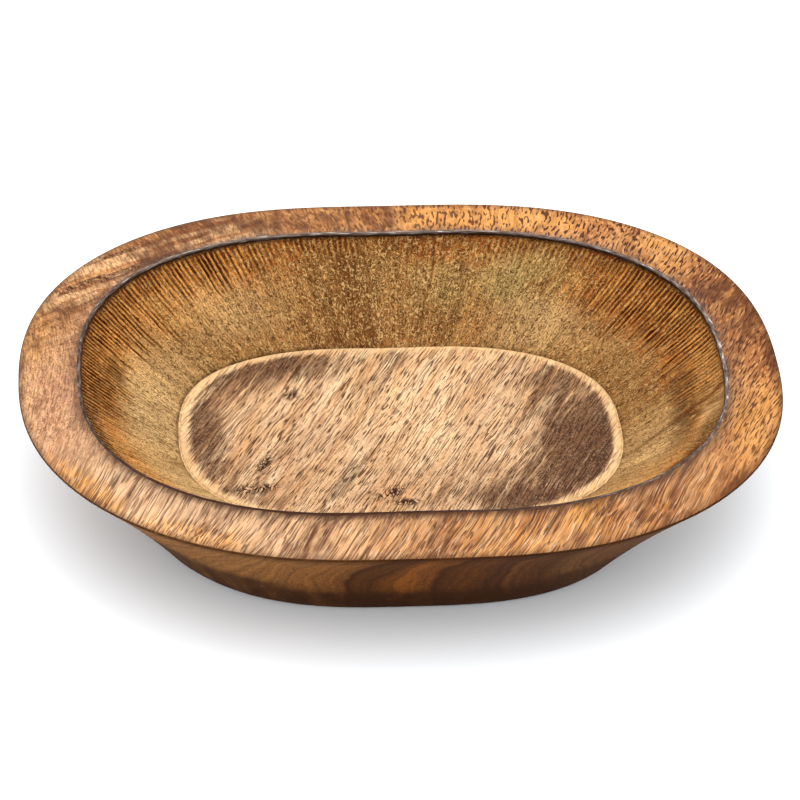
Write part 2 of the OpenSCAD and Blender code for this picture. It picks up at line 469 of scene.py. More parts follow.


# The wall as the gouge and rasp leave it: khaki, furred along its fibres, amber where it is fluted
# Its fibres, furrows and flutes are drawn with painted highlight and painted shade, and it darkens with
# painted shade under the lip and above the floor
wallFinish = {
    "stainCell": (0.018, 0.018, 0.026),
    "tones": [(0.3, "#885A31"), (0.46, "#A06C3B"), (0.6, "#B4824A"), (0.76, "#986E40")],
    "wobbleCell": (0.003, 0.003, 0.004),
    "wobble": 0.45,
    "furrowsPerFlute": 1.5,
    "layers": [
        dict(cell=(0.01, 0.01, 0.02), where="amber", span=(0.0, 0.25), colour="#A85A22"),
        dict(cell=(0.005, 0.005, 0.012), where="amber", span=(0.46, 0.66), strength=0.8,
             colour="#E8A04E"),
        dict(cell=(0.006, 0.006, 0.016), where="amber", span=(0.52, 0.36), strength=0.8,
             colour="#6C2E0C"),
        dict(cell=(0.012, 0.012, 0.018), where="olive", span=(0.2, 0.55), colour="#AE965A"),
        dict(cell=(0.012, 0.012, 0.018), where="honey", span=(0.1, 0.45), colour="#EAA256"),
        dict(cell=(0.012, 0.012, 0.018), where="fair", span=(0.1, 0.45), colour="#EFC486"),
        dict(cell=(0.006, 0.006, 0.024), where="umber", span=(0.15, 0.5), colour="#6E3A14"),
        dict(cell=(0.009, 0.009, 0.07), span=(0.3, 0.7), tone=(0.82, 1.2)),
        dict(cell=(0.0016, 0.0016, 0.02), span=(0.32, 0.68), tone=(0.8, 1.22)),
        # dark furrows: painted shade in the rasp's furrows
        dict(cell=(0.003, 0.003, 0.005), where="furrow", span=(0.25, 0.5), strength=0.6, colour="#66390F",
             height=-0.6),
        # curled fibre strokes: the light ones painted highlight, the dark ones painted shade beside them
        dict(cell=(0.0019, 0.0019, 0.0032), line=True, where="roughFibreLightShade", span=(0.07, 0.02), strength=0.75,
             colour="#E0B474", detail=0.5, curl=1.0, height=0.8),
        dict(cell=(0.0016, 0.0016, 0.0024), line=True, where="roughFibreLightShade", span=(0.06, 0.02), strength=0.85,
             colour="#4E2E10", detail=0.5, curl=1.0, height=-0.8),
        dict(cell=(0.004, 0.004, 0.006), where="burn", span=(0.25, 0.55), strength=0.9, colour="#3F1F0A"),
        # light ridges between the flutes: painted highlight
        dict(cell=(0.002, 0.002, 0.003), where="ridge", span=(0.2, 0.5), strength=0.85, colour="#EBA24C",
             height=0.3),
        # dark grooves and notches of the flutes: painted shade in them
        dict(cell=(0.0016, 0.0016, 0.0034), where="groove", span=(0.1, 0.42), colour="#481A06",
             height=-1.0),
        dict(cell=(0.0026, 0.0026, 0.0022), where="fluted", span=(0.64, 0.7), strength=0.7,
             colour="#2E1506", height=-0.6),
        dict(cell=(0.002, 0.002, 0.006), where="check", span=(0.2, 0.5), colour="#63300C"),
        # painted shade under the lip and in the crevice above the floor's edge
        dict(cell=(0.003, 0.003), where="shade", span=(0.2, 0.5), colour="#371D0B"),
    ],
    "paintedShadeScale": 0.8,
    "roughness": 0.72,
    "gloss": 0.03,
    "bump": 0.9,
}


def makeWallMaterial():
    material, tree, shader = newMaterial("raspedWallPaintedLightShade")
    wrap = readAttribute(tree, "wrap", "Vector")
    share = {name: readAttribute(tree, name) for name in ("fluted", "furrowed", "fluteCount")}
    wobble = grainNoise(tree, wrap, wallFinish["wobbleCell"], detail=1.0)
    swayed = addNode(tree, "Math", {0: wobble, 1: wallFinish["wobble"], 2: share["fluteCount"]},
                     operation="MULTIPLY_ADD")
    counted = addNode(tree, "Math", {0: swayed, 1: wallFinish["wobble"] / 2}, operation="SUBTRACT")
    furrows = addNode(tree, "Math", {0: counted, 1: wallFinish["furrowsPerFlute"]}, operation="MULTIPLY")
    # how far each place lies from the nearest groove or furrow, as a share of their spacing, and
    # between which two shares the groove, ridge or furrow fades in
    # the groove and furrow shares carry painted shade, the ridge share painted highlight
    for name, count, span, zone in (("groove", counted, (0.3, 0.13), "fluted"),
                                    ("ridge", counted, (0.3, 0.46), "fluted"),
                                    ("furrow", furrows, (0.3, 0.08), "furrowed")):
        aside = addNode(tree, "Math", {0: count, 1: 0.5}, operation="PINGPONG")
        part = addNode(tree, "MapRange", {"Value": aside, "From Min": span[0],
                                          "From Max": span[1]}, interpolation_type="SMOOTHSTEP")
        share[name] = addNode(tree, "Math", {0: part, 1: share[zone]}, operation="MULTIPLY")
    wood = figureTones(tree, grainNoise(tree, wrap, wallFinish["stainCell"], detail=3.0),
                       wallFinish["tones"])
    finishWood(tree, shader, wood, wallFinish, wrap, share=share)
    return material


# The floor, scraped flat along the grain: bare and pale, scorched in patches near its edge
floorFinish = {
    "figureCell": (0.06, 0.01),
    "tones": [(0.3, "#E0A874"), (0.46, "#EDBD8A"), (0.62, "#F8D0A2"), (0.78, "#E6B182")],
    "layers": [
        dict(cell=(0.07, 0.026), span=(0.46, 0.7), strength=0.35, colour="#C08A5E"),
        dict(cell=(0.09, 0.006), span=(0.48, 0.72), strength=0.42, colour="#B28664", detail=3.0),
        dict(cell=(0.07, 0.005), span=(0.54, 0.3), strength=0.5, colour="#FFE4B8"),
        dict(cell=(0.016, 0.016), where="smoky", span=(0.15, 0.6), strength=0.5, colour="#A67A5C"),
        dict(cell=(0.03, 0.003), where="scorch", push=0.62, span=(0.58, 1.04), strength=0.9,
             colour="#5E3C28", detail=4.0, name="scorched"),
        dict(cell=(0.016, 0.0011), where="scorch", push=0.36, span=(0.74, 0.88), strength=0.8,
             colour="#3E2820", detail=1.0),
        # fibre strokes in the scorch and across the floor: the light ones painted highlight, the dark
        # ones painted shade
        dict(cell=(0.003, 0.002), line=True, where="scorched", span=(0.06, 0.015), strength=0.45,
             colour="#C09A76", detail=0.5, curl=1.0, height=0.5),
        dict(cell=(0.0028, 0.0019), line=True, where="scorched", span=(0.08, 0.02), strength=0.75,
             colour="#3E261C", detail=0.5, curl=1.0, height=-0.6),
        dict(cell=(0.0026, 0.0018), line=True, span=(0.07, 0.015), strength=0.45, colour="#A4724A",
             detail=0.5, curl=1.2, height=-0.5),
        dict(cell=(0.02, 0.0007), span=(0.34, 0.66), tone=(1.1, 0.86), height=0.3),
        dict(cell=(0.026, 0.0009), span=(0.59, 0.67), strength=0.55, colour="#7A5034", detail=0.0,
             height=-0.8),
        dict(cell=(0.008, 0.0007), span=(0.61, 0.67), strength=0.85, colour="#4A2C1A", detail=0.0,
             height=-0.8),
        dict(cell=(0.004, 0.004), where="cream", span=(0.15, 0.4), strength=0.8, colour="#FFD296"),
        dict(cell=(0.006, 0.0036), line=True, where="crack", span=(0.11, 0.05), colour="#3A2010",
             detail=1.0, curl=1.5, height=-1.0),
    ],
    "paintedShadeScale": 0.84,
    "roughness": 0.62,
    "gloss": 0.06,
    "bump": 0.9,
}


# The rim and the floor, where the grain lies open
def makeGrainMaterial(name, finish, fan):
    material, tree, shader = newMaterial(name)
    place, turn = grainPlace(tree, fan), grain["turn"]
    wood = figureTones(tree, grainNoise(tree, place, finish["figureCell"], turn, 3.0), finish["tones"])
    finishWood(tree, shader, wood, finish, place, turn)
    return material


# The outside, sanded smooth and oiled: dark, the growth rings cut into long arches on their side
outsideFinish = {
    "archHeight": 0.03,
    "archBend": 13.0,
    "archWaver": 0.022,
    "waverSize": 0.03,
    "archFrom": -0.08,
    "archTo": 0.11,
    "tones": [(0.0, "#8A5C30"), (0.2, "#7E5026"), (0.275, "#70431C"), (0.29, "#40200B"),
              (0.32, "#55300F"), (0.37, "#4A280E"), (0.43, "#7C4618"), (0.5, "#6C3D15"),
              (0.52, "#4A270E"), (0.6, "#5A3212"), (0.68, "#442410"), (0.72, "#5C3518"), (0.8, "#482810"),
              (0.86, "#643F20"), (1.0, "#5E3A1C")],
    "bandSize": 0.0036,
    "bandTone": (0.7, 1.26),
    "layers": [
        dict(cell=(0.0011, 0.0011, 0.0085), span=(0.3, 0.7), tone=(0.8, 1.2), height=0.6, curl=0.6),
        dict(cell=(0.0016, 0.0016, 0.01), span=(0.6, 0.68), strength=0.5, colour="#341906"),
        dict(cell=(0.0016, 0.0016, 0.002), span=(0.64, 0.7), strength=0.5, colour="#341906", height=-0.5),
        dict(cell=(0.004, 0.004), where="edge", span=(0.1, 0.4), colour="#3A1E0B"),
    ],
    "paintedShadeScale": 0.76,
    "roughness": 0.65,
    "gloss": 0.03,
    "bump": 0.4,
}


def makeOutsideMaterial():
    material, tree, shader = newMaterial("smoothedOiledMango")
    place = addNode(tree, "TexCoord").outputs["Object"]
    axes = addNode(tree, "SeparateXYZ", {0: place})
    waver = addNode(tree, "TexNoise", {"Vector": place, "Scale": 1 / outsideFinish["waverSize"],
                                       "Detail": 2.0})
    rise = addNode(tree, "Math", {0: axes.outputs["Z"], 1: outsideFinish["archHeight"]},
                   operation="SUBTRACT")
    square = addNode(tree, "Math", {0: rise, 1: rise}, operation="MULTIPLY")
    arch = addNode(tree, "Math", {0: square, 1: -outsideFinish["archBend"],
                                  2: axes.outputs["X"]}, operation="MULTIPLY_ADD")
    swayed = addNode(tree, "Math", {0: waver.outputs["Fac"], 1: outsideFinish["archWaver"],
                                    2: arch}, operation="MULTIPLY_ADD")
    along = addNode(tree, "MapRange", {"Value": swayed, "From Min": outsideFinish["archFrom"],
                                       "From Max": outsideFinish["archTo"]})
    bands = addNode(tree, "TexNoise", {"W": swayed, "Scale": 1 / outsideFinish["bandSize"],
                                       "Detail": 3.0}, noise_dimensions="1D").outputs["Fac"]
    dim, bright = outsideFinish["bandTone"]
    bandTone = addNode(tree, "MapRange", {"Value": bands, "From Min": 0.3, "From Max": 0.7,
                                          "To Min": dim, "To Max": bright})
    wood = addNode(tree, "VectorMath", {0: figureTones(tree, along, outsideFinish["tones"]),
                                        "Scale": bandTone}, operation="SCALE")
    finishWood(tree, shader, wood, outsideFinish, place)
    return material


rimWood = makeGrainMaterial("sandedOiledMango", rimFinish, grain["fan"])
floorWood = makeGrainMaterial("scrapedMangoFloor", floorFinish, 0.0)
lipWood, wallWood, outsideWood = makeLipMaterial(), makeWallMaterial(), makeOutsideMaterial()
print("materials made")

# Rings of the outside and the rim
angles = coarseAngles
footCentre = np.tile([shape["foot"]["middle"][0], shape["foot"]["middle"][1], 0.0], (len(angles), 1))
foot = ovalRing(shape["foot"], angles, 0.0)
rimUnder = ovalRing(shape["rim"], angles, shape["rimEdgeHeight"] - shape["rimEdgeThickness"])
rimEdge = ovalRing(shape["rim"], angles, shape["rimEdgeHeight"])
lipOuter = ovalRing(shape["lip"], angles, shape["lipSection"][0][1], shape["lipSection"][0][0])
half = shape["rimEdgeThickness"] / 2
footRings = roundCorner(footCentre, foot, rimUnder, shape["footRound"], shape["footRound"],
                        shape["edgeSteps"] + 1)
lowRings = roundCorner(footRings[-1], rimUnder, rimEdge, half, half, shape["edgeSteps"])
highRings = roundCorner(rimUnder, rimEdge, lipOuter, half, half, shape["edgeSteps"])
outerRings = ([footRings[0] * 0.9 + footCentre * 0.1] + footRings
              + wallRings(footRings[-1], lowRings[0], shape["outerRows"], shape["wallHollowing"])
              + lowRings + highRings[1:])
rimRings = [highRings[-1] * (1 - t) + lipOuter * t
            for t in np.linspace(0, shape["rimStop"], shape["rimRows"] + 1)]

# Rings of the lip, the inner wall and the edge of the floor
angles = fineAngles
lipRings = [ovalRing(shape["lip"], angles, z, out) for out, z in shape["lipSection"]]
broad, narrow = carving["lipWaves"]
lipSway = softNoise(lipRings[0], broad, 1.0) + 0.6 * softNoise(lipRings[0], narrow, 3.0)
outward = lipRings[0] / np.linalg.norm(lipRings[0][:, :2], axis=1)[:, None] * [1, 1, 0]
lipRings = [ring + outward * (lipSway * carving["lipUneven"] * min(1, k / 2))[:, None]
            - [0, 0, 1] * (np.abs(lipSway) * carving["lipUneven"] * 0.5)[:, None]
            for k, ring in enumerate(lipRings)]
narrow, broad = carving["edgeWaves"]
edgeSway = softNoise(lipRings[0], narrow, 6.0) + 0.5 * softNoise(lipRings[0], broad, 8.0)
chipping = sum(angleShare(angles, middle, half) * depth for middle, half, depth in carving["chips"])
chipping = chipping * smooth(softNoise(lipRings[0], carving["chipSize"], 12.0) * 2 + 0.5)
edgeOut = edgeSway * carving["edgeUneven"]
edgeRings = []
for k, ((out, z), fade) in enumerate(zip(shape["edgeSection"], shape["edgeFades"])):
    ring = ovalRing(shape["floor"], angles, z, out)
    edgeRings.append(ring + outward * (edgeOut * fade - chipping * fade * (k > 0))[:, None])
wallShares = np.linspace(0, 1, shape["wallRows"] + 1)
fluteCounts, fluteZones, fluteCuts = fluteRows(angles, wallShares)
wallGrid = carveWall([lipRings[-1]] + wallRings(lipRings[-1], edgeRings[0], shape["wallRows"],
                                                -shape["wallScoop"]) + [edgeRings[0]], fluteCuts)
wallGrid[0], wallGrid[-1] = lipRings[-1], edgeRings[0]
angles = coarseAngles
floorRings = [ovalRing(shape["floor"], angles, shape["floorHeight"], out) for out in shape["floorRings"]]

bands = {name: layBand(name, *rest) for name, *rest in (
    ("outside", outerRings, outsideWood, 1),
    ("rimTop", rimRings, rimWood, 0, 2),
    ("lip", lipRings, lipWood, 3),
    ("wall", wallGrid, wallWood),
    ("floorEdge", edgeRings, floorWood, 0, 4),
    ("floor", floorRings, floorWood, 5, 6))}
print("bands laid")

# Stains on the wall, and painted shade under the lip and above the floor: middle and half width in
# degrees, how far down and strength, and, for spots, where their middle lies and how far they reach
# down. Checks: degrees at the top and the bottom.
wallStainsAndShade = {
    "amber": [(143, 36, 0.4, 1.0), (172, 40, 0.52, 1.0), (206, 30, 0.3, 1.0), (22, 46, 0.56, 1.0),
              (60, 24, 0.24, 0.8), (350, 20, 0.44, 1.0), (92, 50, 0.2, 0.85), (79, 5, 0.18, 0.8),
              (326, 36, 0.34, 1.0), (228, 30, 0.24, 1.0), (198, 18, 0.4, 1.0), (270, 40, 0.12, 0.7)],
    "burn": [(178, 9, 0.22, 0.16, 0.85), (170, 5, 0.38, 0.1, 0.8), (186, 5, 0.1, 0.1, 0.7),
             (350, 4, 0.34, 0.1, 0.85), (356, 3, 0.24, 0.08, 0.5), (20, 4, 0.46, 0.05, 0.6),
             (133, 4, 0.1, 0.08, 0.5), (168, 22, 0.08, 0.1, 0.45), (355, 16, 0.42, 0.13, 0.75),
             (196, 22, 0.08, 0.09, 0.8), (326, 20, 0.08, 0.09, 0.9), (30, 30, 0.06, 0.07, 0.35)],
    "olive": [(55, 13, 0.36, 0.26, 0.85), (72, 14, 0.5, 0.26, 0.45), (100, 14, 0.34, 0.3, 0.35)],
    "calm": [(222, 42, 0.6, 1.2, 0.4), (318, 40, 0.6, 1.2, 0.3), (349, 5, 0.16, 0.16, 0.9)],
    "umber": [(104, 12, 0.5, 1.0, 0.7), (84, 24, 0.06, 0.14, 0.6), (196, 22, 0.08, 0.12, 0.6),
              (332, 26, 0.08, 0.16, 1.0), (75, 8, 0.82, 0.2, 0.5), (30, 30, 0.05, 0.08, 0.4)],
    "honey": [(150, 12, 0.4, 0.22, 0.8), (168, 12, 0.46, 0.22, 0.6), (203, 14, 0.34, 0.26, 0.7),
              (352, 17, 0.13, 0.2, 1.0), (4, 10, 0.12, 0.14, 0.8), (326, 20, 0.5, 0.36, 0.8),
              (208, 22, 0.42, 0.34, 0.9), (137, 9, 0.3, 0.14, 0.4)],
    "fair": [(347, 9, 0.1, 0.15, 0.8), (176, 24, 0.8, 0.34, 0.95), (212, 34, 0.9, 0.36, 0.9),
             (345, 14, 0.78, 0.34, 0.6), (45, 12, 0.75, 0.22, 0.55), (136, 14, 0.55, 0.26, 0.35),
             (322, 20, 0.8, 0.4, 0.4)],
    "checks": [(101.5, 102, 0.55, 0.55), (77, 78.5, 0.5, 0.85), (69, 68, 0.5, 0.3), (112, 111, 0.4, 0.35),
               (355, 348, 0.9, 0.8)],
    "raggedEdge": ((0.16, 0.022), (0.1, 0.006)),    # how much, and how long its waves are
    "amberFade": 0.34,
    "lipShade": (0.75, 0.03),    # how dark, and how far it fades
    "floorShade": (0.85, 0.016),
    "floorShadePlace": (148, 64),
    "seamPlace": (270, 1.0),
    "lipBurntAndShadedPlace": (248, 108),
    "wrapRadius": 0.148,
    "wrapHeight": 0.062,
}


def wallSpots(turns, down, entries):
    total = np.zeros(len(turns))
    for middle, half, depth, reach, strength in entries:
        part = angleShare(turns, middle, half * 1.5) * smooth(1.5 - np.abs(down - depth) / reach)
        total = np.maximum(total, part * strength)
    return total


# Gives each point its place on the wall, wrapped on a cylinder, its stains and its painted shade
def markFineBand(band, topShare, bottomShare, rows):
    spots, levels = readValues(band.data, "spot"), readValues(band.data, "level")
    turns = fineAngles[spots]
    shares = topShare + (bottomShare - topShare) * levels / rows
    run = np.arange(shape["finePoints"]) / shape["finePoints"] * 2 * np.pi
    radius = wallStainsAndShade["wrapRadius"]
    wrap = np.stack([radius * np.cos(run[spots]), radius * np.sin(run[spots]),
                     shares * wallStainsAndShade["wrapHeight"]], axis=1)
    writeValues(band.data, "wrap", wrap, "FLOAT_VECTOR")
    down = np.clip(shares, 0, 1)
    (broad, broadSize), (narrow, narrowSize) = wallStainsAndShade["raggedEdge"]
    ragged = broad * softNoise(wrap, broadSize, 21.0) + narrow * softNoise(wrap, narrowSize, 22.0)
    amber = np.zeros(len(spots))
    for middle, half, reachDown, strength in wallStainsAndShade["amber"]:
        part = (smooth(angleShare(turns, middle, half) * 1.6)
                * smooth((reachDown + ragged - down) / wallStainsAndShade["amberFade"] + 0.5))
        amber = np.maximum(amber, part * strength)
    check = np.zeros(len(spots))
    for top, bottom, half, strength in wallStainsAndShade["checks"]:
        middle = top + (bottom - top) * down + 0.5 * np.sin(down * 9 + top)
        gap = np.abs((np.degrees(turns) - middle + 180) % 360 - 180)
        check = np.maximum(check, smooth(1.4 - gap / half) * strength * (1 - 0.5 * down))
    calm = wallSpots(turns, down, wallStainsAndShade["calm"])
    # Painted shade: darkest under the lip and in the crevice above the floor's edge, most at the back
    # left
    dark, fade = wallStainsAndShade["floorShade"]
    crevice = dark * np.exp((down - 1) / fade)
    crevice *= 0.35 + 0.65 * angleShare(turns, *wallStainsAndShade["floorShadePlace"])
    dark, fade = wallStainsAndShade["lipShade"]
    seam = angleShare(turns, *wallStainsAndShade["seamPlace"])
    values = {name: wallSpots(turns, down, wallStainsAndShade[name]) for name in
              ("burn", "olive", "umber", "honey", "fair")}
    values |= {"amber": amber, "check": check, "roughFibreLightShade": (1 - 0.5 * calm) * (1 - 0.1 * amber),
              "shade": dark * np.exp(-down / fade) + crevice,
              "furrowed": (0.65 - 0.35 * calm) * (1 - seam) * smooth(down / 0.05)}
    for name, value in values.items():
        writeValues(band.data, name, value)
    return spots, levels


markFineBand(bands["floorEdge"], 1.0, 1.06, len(edgeRings) - 1)
spots, levels = markFineBand(bands["wall"], 0.0, 1.0, shape["wallRows"])
writeValues(bands["wall"].data, "fluteCount", fluteCounts[levels, spots])
writeValues(bands["wall"].data, "fluted", fluteZones[levels, spots])
spots, levels = markFineBand(bands["lip"], -0.12, 0.0, len(lipRings) - 1)
# the lip's inner face: partly burnt wood, partly painted shade under the crest
writeValues(bands["lip"].data, "inner", smooth((levels - 2.5) / 2.5))
# the lip's front dark brown: partly the burnt edge, partly painted shade
near = angleShare(fineAngles[spots], *wallStainsAndShade["lipBurntAndShadedPlace"]) ** 0.4
writeValues(bands["lip"].data, "near", near)

# The bands become one skin: shared rings are merged, open ones bridged, floor and foot closed
bpy.ops.object.select_all(action="DESELECT")
for band in bands.values():
    band.select_set(True)
bpy.context.view_layer.objects.active = bands["outside"]
bpy.ops.object.join()
bowl = bpy.context.object
bowl.name = bowl.data.name = "carvedBowl"
bpy.ops.object.mode_set(mode="EDIT")
bpy.ops.mesh.select_all(action="SELECT")
bpy.ops.mesh.remove_doubles(threshold=0.000002)
bpy.ops.mesh.select_mode(type="EDGE")


def selectRings(*marks):
    bpy.ops.mesh.select_all(action="DESELECT")
    cage = bmesh.from_edit_mesh(bowl.data)
    mark = cage.verts.layers.int["mark"]
    for edge in cage.edges:
        a, b = edge.verts[0][mark], edge.verts[1][mark]
        edge.select_set(a == b and a in marks and edge.is_boundary)
    bmesh.update_edit_mesh(bowl.data)


def paintSelected(material):
    bowl.active_material_index = bowl.material_slots.find(material.name)
    bpy.ops.object.material_slot_assign()


selectRings(2, 3)
bpy.ops.mesh.bridge_edge_loops()
paintSelected(rimWood)
selectRings(4, 5)
bpy.ops.mesh.bridge_edge_loops()
paintSelected(floorWood)
selectRings(6)
bpy.ops.mesh.fill_grid(span=shape["floorSpan"], offset=0)
paintSelected(floorWood)
selectRings(1)
bpy.ops.mesh.edge_face_add()
paintSelected(outsideWood)
bpy.ops.mesh.select_all(action="SELECT")
bpy.ops.mesh.normals_make_consistent(inside=False)
bpy.ops.object.mode_set(mode="OBJECT")
print("bowl joined:", len(bowl.data.vertices), "points")

bowl.data.calc_loop_triangles()
print("triangles:", len(bowl.data.loop_triangles))

# Stains in plan: middle, reach along and across, turn in degrees and strength
stains = {
    "scorch": [(0.08, 0.024, 0.008, 0.034, -28, 0.5), (-0.03, -0.04, 0.034, 0.005, 62, 0.45),
               (0.002, 0.062, 0.014, 0.008, 62, 0.3), (-0.01, 0.045, 0.034, 0.008, 62, 0.3),
               (0.018, -0.056, 0.02, 0.005, 62, 0.4), (0.058, -0.04, 0.03, 0.006, 62, 0.5),
               (0.046, -0.052, 0.018, 0.005, 62, 0.5), (0.064, 0.01, 0.036, 0.006, 66, 0.35)],
    "smoky": [(-0.05, -0.03, 0.06, 0.04, 20, 0.7), (0.02, -0.045, 0.06, 0.028, 0, 0.8),
              (0.06, 0.01, 0.03, 0.05, 0, 0.5), (-0.06, 0.025, 0.03, 0.024, 20, 0.4)],
    "dusk": [(0.181, 0.06, 0.02, 0.015, -36, 1.0), (0.19, 0.034, 0.01, 0.018, 0, 0.8),
             (0.17, -0.102, 0.013, 0.014, 40, 0.8), (0.0, 0.139, 0.022, 0.012, 0, 0.55),
             (-0.1, 0.127, 0.024, 0.01, 20, 0.6), (0.197, 0.004, 0.004, 0.024, 0, 0.85),
             (-0.066, 0.136, 0.066, 0.012, 2, 0.7), (-0.017, 0.142, 0.008, 0.008, 0, 0.8),
             (-0.128, 0.11, 0.02, 0.016, 40, 0.8), (-0.052, -0.135, 0.018, 0.008, 62, 0.5),
             (0.01, -0.138, 0.016, 0.008, 62, 0.45), (0.088, -0.128, 0.02, 0.008, 62, 0.4),
             (0.112, -0.118, 0.018, 0.007, 60, 0.4), (-0.172, 0.062, 0.02, 0.006, 20, 0.5),
             (-0.186, 0.03, 0.012, 0.005, 12, 0.4)],
    "glow": [(0.024, 0.139, 0.016, 0.014, 70, 0.8), (0.066, 0.134, 0.046, 0.014, -6, 0.75),
             (0.183, -0.05, 0.014, 0.034, -16, 0.5), (0.081, -0.121, 0.014, 0.012, 62, 0.6),
             (-0.17, -0.088, 0.034, 0.01, -50, 0.85), (-0.116, -0.13, 0.034, 0.009, -20, 0.6),
             (0.15, 0.098, 0.03, 0.018, 62, 0.5), (-0.192, 0.04, 0.01, 0.03, 0, 0.4)],
    "rose": [(-0.177, -0.024, 0.016, 0.056, 0, 0.85)],
    "swirl": [(-0.146, 0.092, 0.056, 0.03, 38, 1.0), (-0.18, 0.048, 0.026, 0.034, 60, 0.65),
              (-0.096, 0.124, 0.044, 0.018, 14, 0.8), (0.15, 0.1, 0.03, 0.016, -40, 0.25)],
    "crack": [(-0.078, -0.046, 0.014, 0.0046, 10, 1.0), (-0.073, -0.026, 0.009, 0.0036, 62, 1.0),
              (-0.056, 0.033, 0.005, 0.004, 0, 0.9), (-0.008, -0.052, 0.011, 0.004, 30, 1.0),
              (0.0, -0.06, 0.009, 0.003, 0, 1.0)],
}

# Stains that follow the edges. Places are a middle and half width in degrees, then a strength.
edgeStains = {
    # scorched crescents inside the floor's edge: place, how far in and strength
    "crescents": [(138, 40, 0.036, 0.8), (178, 36, 0.03, 0.8), (212, 24, 0.024, 0.4),
                  (350, 46, 0.052, 1.0), (318, 30, 0.04, 0.85), (24, 26, 0.042, 0.6),
                  (92, 30, 0.02, 0.22), (262, 40, 0.022, 0.3)],
    "scorchFrom": 0.0022,
    "scorchFade": 0.005,
    "creamReach": 0.0044,
    "mottleSize": 0.012,
    # the rim greyer beside the lip: where it starts, and its reach, more at two places
    "slateFrom": 0.0026,
    "slateReach": 0.0032,
    "slateWider": [(10, 60, 0.0035), (225, 60, 0.004)],
    # the rim's worn edge, from this height up
    "edgeFrom": 0.06,
    "edgeReach": 0.0011,
    "edgeDark": 0.85,
    # dark line along the front of the lip
    "vergePlace": (262, 100),
    "vergeFrom": 0.004,
    "vergeReach": 0.0016,
    "vergeMottle": 0.006,
    # the rim, this far out from the lip: paler at the front left, tawny at five places
    "rimFrom": 0.002,
    "fair": (216, 68, 0.95),
    "tawny": [(11, 40, 0.95), (126, 30, 0.8), (96, 16, 0.7), (318, 26, 0.5), (272, 16, 0.4)],
    # pores and curled fibres, their light and dark strokes painted highlight and painted shade: least
    # strength and most, which holds at the place
    "pored": (30, 105, 0.42),
    "curlyFibreLightShade": (170, 80, 0.15),
    # the front, where the pores are long: where it begins along Y and ends along X, and the fades
    "longFrom": -0.045,
    "longTo": 0.19,
    "longFades": (0.05, 0.07),
}


def blobs(x, y, entries):
    total = np.zeros(len(x))
    for middleX, middleY, along, across, turn, strength in entries:
        c, s = math.cos(math.radians(turn)), math.sin(math.radians(turn))
        dx, dy = x - middleX, y - middleY
        gap = np.hypot((dx * c + dy * s) / along, (dy * c - dx * s) / across)
        total = np.maximum(total, strength * smooth((1.35 - gap) / 0.9))
    return total


def edgeGap(points, oval):
    turns = np.arctan2(points[:, 1] - oval["middle"][1], points[:, 0] - oval["middle"][0])
    ring = ovalRing(oval, turns, 0.0)
    middle = np.array(oval["middle"])
    return (np.linalg.norm(points[:, :2] - middle, axis=1)
            - np.linalg.norm(ring[:, :2] - middle, axis=1)), turns


points = np.zeros(len(bowl.data.vertices) * 3)
bowl.data.vertices.foreach_get("co", points)
points = points.reshape(-1, 3)
x, y = points[:, 0], points[:, 1]
floorGap, floorTurn = edgeGap(points, shape["floor"])
low, high = shape["floorZone"]
onFloor = (floorGap < -0.002) & (points[:, 2] > low) & (points[:, 2] < high)
share = np.clip(-floorGap / (shape["floor"]["width"] / 2), 0, 1)
c, s = math.cos(grain["turn"]), math.sin(grain["turn"])
grainRun = np.stack([x * c + y * s, (x * s - y * c) * carving["scrapeStretch"], x * 0], axis=1)
broad, narrow = carving["scrapeWaves"]
relief = softNoise(grainRun, broad, 14.0) + 0.6 * softNoise(grainRun, narrow, 15.0)
scraped = carving["scrapeDepth"] * (relief + 1) * smooth(share * 6)
points[:, 2] -= np.where(onFloor, shape["floorDip"] * smooth(share) + scraped, 0)
bowl.data.vertices.foreach_set("co", points.ravel())
lipGap, lipTurn = edgeGap(points, shape["lip"])
rimGap, rimTurn = edgeGap(points, shape["rim"])
values = {name: blobs(x, y, entries) for name, entries in stains.items()}
inward = -floorGap
for middle, half, reach, strength in edgeStains["crescents"]:
    start = smooth((inward - edgeStains["scorchFrom"]) / edgeStains["scorchFade"])
    part = angleShare(floorTurn, middle, half) ** 0.6 * start
    values["scorch"] = np.maximum(values["scorch"], part * strength * smooth(1.35 - inward / reach))
values["cream"] = (smooth(1.2 + floorGap / edgeStains["creamReach"])
                   * (0.75 + 0.25 * softNoise(points, edgeStains["mottleSize"], 16.0)))
slateReach = edgeStains["slateReach"] + sum(
    more * angleShare(lipTurn, middle, half) for middle, half, more in edgeStains["slateWider"])
slateLine = np.exp(-np.clip(lipGap - edgeStains["slateFrom"], 0, 1) / slateReach)
mottle = 0.62 + 0.5 * softNoise(grainRun, edgeStains["mottleSize"], 17.0)
values["slate"] = np.clip(0.95 * slateLine * mottle, 0, 1)
high = points[:, 2] > edgeStains["edgeFrom"]
worn = np.exp(np.clip(rimGap, -1, 0) / edgeStains["edgeReach"]) * high
verge = (np.exp(-np.clip(lipGap - edgeStains["vergeFrom"], 0, 1) / edgeStains["vergeReach"])
         * angleShare(lipTurn, *edgeStains["vergePlace"]) ** 0.4)
values["edge"] = np.maximum(worn * edgeStains["edgeDark"],
                            verge * (0.9 + 0.3 * softNoise(points, edgeStains["vergeMottle"], 33.0)))
fadeY, fadeX = edgeStains["longFades"]
values["long"] = (smooth((edgeStains["longFrom"] - y) / fadeY)
                  * smooth((edgeStains["longTo"] - x) / fadeX))
middle, half, strength = edgeStains["fair"]
fair = angleShare(rimTurn, middle, half) ** 0.7 * strength
values["fair"] = np.where(lipGap > edgeStains["rimFrom"], fair, readValues(bowl.data, "fair"))
